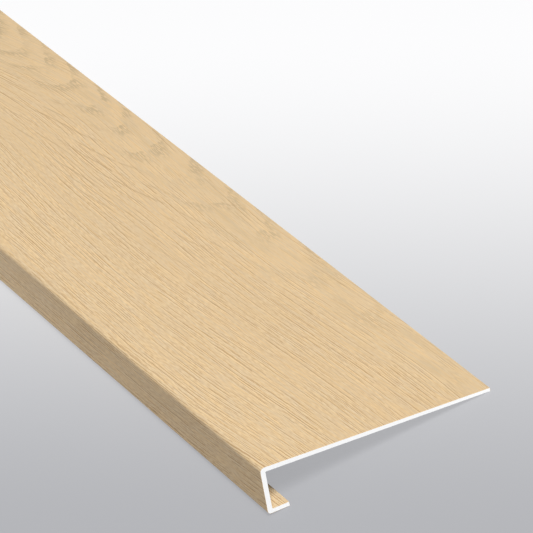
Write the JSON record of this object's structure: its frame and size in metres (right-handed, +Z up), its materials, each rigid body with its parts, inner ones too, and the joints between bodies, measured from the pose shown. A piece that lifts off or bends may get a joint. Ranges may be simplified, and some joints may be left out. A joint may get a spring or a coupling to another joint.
{
  "type": "stair tread",
  "caption": "Stair tread of wood-look rigid sheet: a flat plate that covers a step, with a square nose down its front and a short lip that hooks back under the step's edge.",
  "frame": {"origin": "bottom centre of the tread's bounding box, on the floor that it lies on", "axes": "+X along the nose toward the end that the picture shows, +Y from the nose toward the rear edge, +Z up"},
  "size_m": [1.4, 0.2544, 0.0513],
  "materials": {
    "oak_decor_sheet": "satin"
  },
  "bodies": {
    "root": {"stair_tread": "oak_decor_sheet"}
  },
  "joints": []
}
